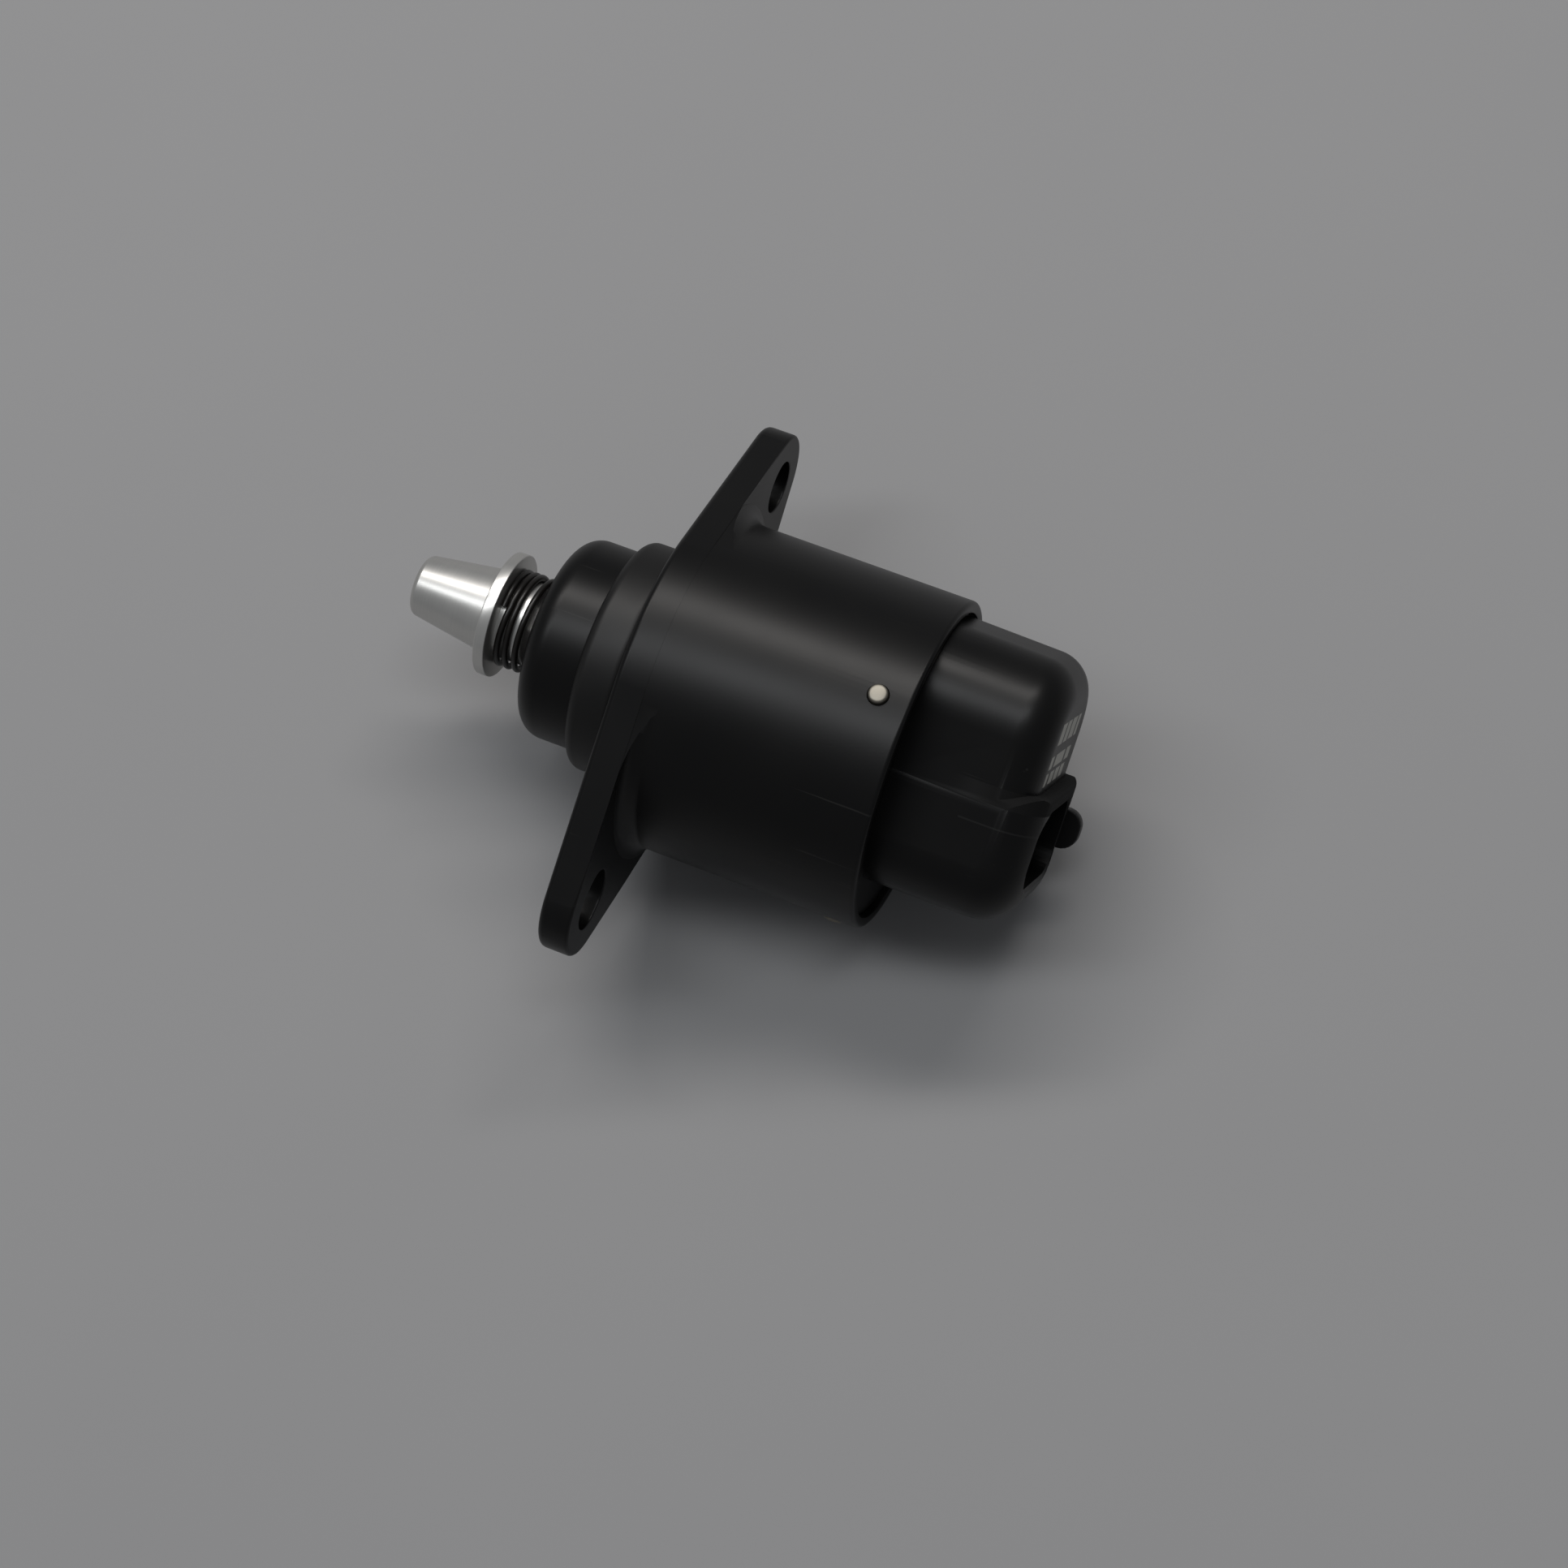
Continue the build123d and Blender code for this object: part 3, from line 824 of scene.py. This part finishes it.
# %% Rubber, spring wire and nylon
def rubber():
    finish = Finish("seal_rubber")
    bloom = finish.noise(260, 3)
    finish.set(
        {
            "Base Color": finish.mix(bloom, (0.0035, 0.0035, 0.0036, 1), (0.0060, 0.0058, 0.0056, 1)),
            "Roughness": 0.40 + bloom * 0.14,
            "Normal": finish.bump(finish.noise(3800, 2), 0.05, 0.00002),
            "Specular IOR Level": 0.28,
        }
    )
    return finish.material


def spring_wire():
    finish = Finish("black_spring_wire")
    oil = finish.noise(700, 3)
    finish.set(
        {
            "Base Color": finish.mix(oil, (0.0035, 0.0032, 0.0030, 1), (0.0080, 0.0068, 0.0060, 1)),
            "Roughness": 0.24 + oil * 0.16,
            "Normal": finish.bump(finish.noise(6000, 2), 0.08, 0.00001),
            "Specular IOR Level": 0.30,
        }
    )
    return finish.material


def nylon():
    finish = Finish("nylon")
    cloud = finish.noise(180, 3)
    finish.set(
        {
            "Base Color": finish.mix(cloud, (0.72, 0.70, 0.62, 1), (0.78, 0.76, 0.69, 1)),
            "Roughness": 0.46 + cloud * 0.12,
        }
    )
    return finish.material


FINISH.update(seal_rubber=rubber(), black_spring_wire=spring_wire(), nylon=nylon())
print("rubber, wire and nylon made")

# %% [markdown]
# ## Metals
# The pintle is turned, so it carries fine rings round its axis that spread its highlight. The screw, the
# pins and the bearing are bright steel. Inside are plated stator sheets, a dark sintered magnet, enamelled
# copper in close turns, a bronze bush and tinned contacts.


# %% Metals
def metal(name, dark, light, rough, rings=0.0, ring_width=0.1, metallic=1.0):
    """A metal whose tone and gloss wander; rings draw fine turning marks along X."""
    finish = Finish(name)
    cloud = finish.noise(420, 4)
    tone = cloud
    height = finish.noise(5000, 2)
    if rings:
        turning = finish.noise(1, 3, finish.stretch(1 / (ring_width * MM), 6, 6))
        tone = cloud * (1 - rings) + turning * rings
        height = turning
    finish.set(
        {
            "Base Color": finish.mix(tone, (*dark, 1), (*light, 1)),
            "Roughness": rough - 0.06 + tone * 0.14,
            "Normal": finish.bump(height, 0.06 + 0.2 * rings, 0.00001),
            "Metallic": metallic,
        }
    )
    return finish.material


FINISH.update(
    turned_aluminium=metal(
        "turned_aluminium", (0.465, 0.46, 0.445), (0.63, 0.625, 0.605), 0.33, 0.5, 0.14, 0.9
    ),
    bright_steel=metal("bright_steel", (0.70, 0.69, 0.66), (0.86, 0.85, 0.82), 0.18),
    pin_steel=metal("pin_steel", (0.14, 0.13, 0.11), (0.26, 0.245, 0.21), 0.46),
    stator_steel=metal("stator_steel", (0.45, 0.45, 0.44), (0.58, 0.57, 0.55), 0.35),
    magnet=metal("magnet", (0.045, 0.045, 0.05), (0.075, 0.075, 0.08), 0.5, metallic=0.6),
    winding=metal("winding", (0.48, 0.17, 0.06), (0.72, 0.32, 0.13), 0.3, 0.8, 0.2),
    bronze=metal("bronze", (0.46, 0.30, 0.12), (0.60, 0.42, 0.20), 0.4),
    contact=metal("contact", (0.68, 0.66, 0.61), (0.80, 0.78, 0.74), 0.28),
)
print("finishes", sorted(FINISH))

# %% [markdown]
# The record names a finish for every CAD piece. The pieces that stay as they are take it directly, and
# the new ones take the same. The cap's copy of the plastic adds the plain marks on its rear face.


# %% Give every piece its finish
def dress(obj, material):
    obj.data.materials.clear()
    obj.data.materials.append(material)


for part in frame["record"]["subparts"]:
    dress(frame["nodes"][part["node"]], FINISH[part["material_slot"]])
for piece, body, slot, node in PIECES:
    dress(piece, FINISH[slot])
dress(cap, cap_plastic)
dress(pins, FINISH["pin_steel"])
print("pieces dressed", len(frame["nodes"]) + len(PIECES))

# %% [markdown]
# ## Table
# The valve lies on a plain grey table. A large plane at the part's lowest point does for it, with a matt
# finish whose grey wanders very slightly, so that the floor doesn't look painted.

# %% Table
bpy.ops.object.select_all(action="DESELECT")
bpy.ops.mesh.primitive_plane_add(size=6, location=(0, 0, start_low.z))
table = bpy.context.object
table.name = "table"
grey = Finish("table_grey")
haze = grey.noise(14, 4)
grey.set(
    {
        "Base Color": grey.mix(haze, (0.222, 0.222, 0.225, 1), (0.244, 0.244, 0.247, 1)),
        "Roughness": 0.75 + haze * 0.1,
        "Specular IOR Level": 0.2,
    }
)
dress(table, grey.material)
print("table at", round(start_low.z / MM, 2), "mm")

# %% [markdown]
# ## Lamps
# Two long lamps hang side by side above the table: the two bands along the tube and the two streaks on the
# pintle show where they are. Area lamps give such bands soft ends. A dim grey surround fills the shadows.


# %% Lamps
def lamp(name, place, size, watts, colour):
    """A long soft lamp that hangs level above the table."""
    bpy.ops.object.select_all(action="DESELECT")
    bpy.ops.object.light_add(type="AREA", location=place)
    obj = bpy.context.object
    obj.name = name
    obj.data.shape = "RECTANGLE"
    obj.data.size, obj.data.size_y = size
    obj.data.energy = watts
    obj.data.color = colour
    obj.rotation_euler = (0, 0, math.radians(25))


lamp("lamp_warm", (-0.20, 0.50, 0.85), (1.00, 0.16), 7.8, (1.0, 0.97, 0.94))
lamp("lamp_cool", (-0.20, -0.07, 0.85), (1.00, 0.16), 4.0, (0.96, 0.98, 1.0))
world = bpy.context.scene.world or bpy.data.worlds.new("world")
bpy.context.scene.world = world
world.use_nodes = True
surround = world.node_tree.nodes["Background"].inputs
surround["Color"].default_value = (0.80, 0.82, 0.85, 1)
surround["Strength"].default_value = 0.255
bpy.context.scene.view_settings.view_transform = "Standard"

# %% [markdown]
# ## Camera
# The camera looks down steeply from about 33 cm. Its place, lens and roll come from fitting the part's
# outlines to the photograph, because a guess would turn or stretch every edge a little.

# %% Camera
EYE = Vector((77.97, -102.21, 306.70)) * MM
AIM = Vector((14.62, -5.96, 0)) * MM
bpy.ops.object.select_all(action="DESELECT")
bpy.ops.object.camera_add(location=EYE)
camera = bpy.context.object
camera.data.sensor_width = 36
camera.data.lens = 84.28
camera.data.clip_start, camera.data.clip_end = 0.01, 20
camera.rotation_mode = "QUATERNION"
roll = Quaternion((0, 0, 1), math.radians(-11.36))
camera.rotation_quaternion = (AIM - EYE).to_track_quat("-Z", "Y") @ roll
bpy.context.scene.camera = camera
print("camera", [round(c / MM, 1) for c in EYE])
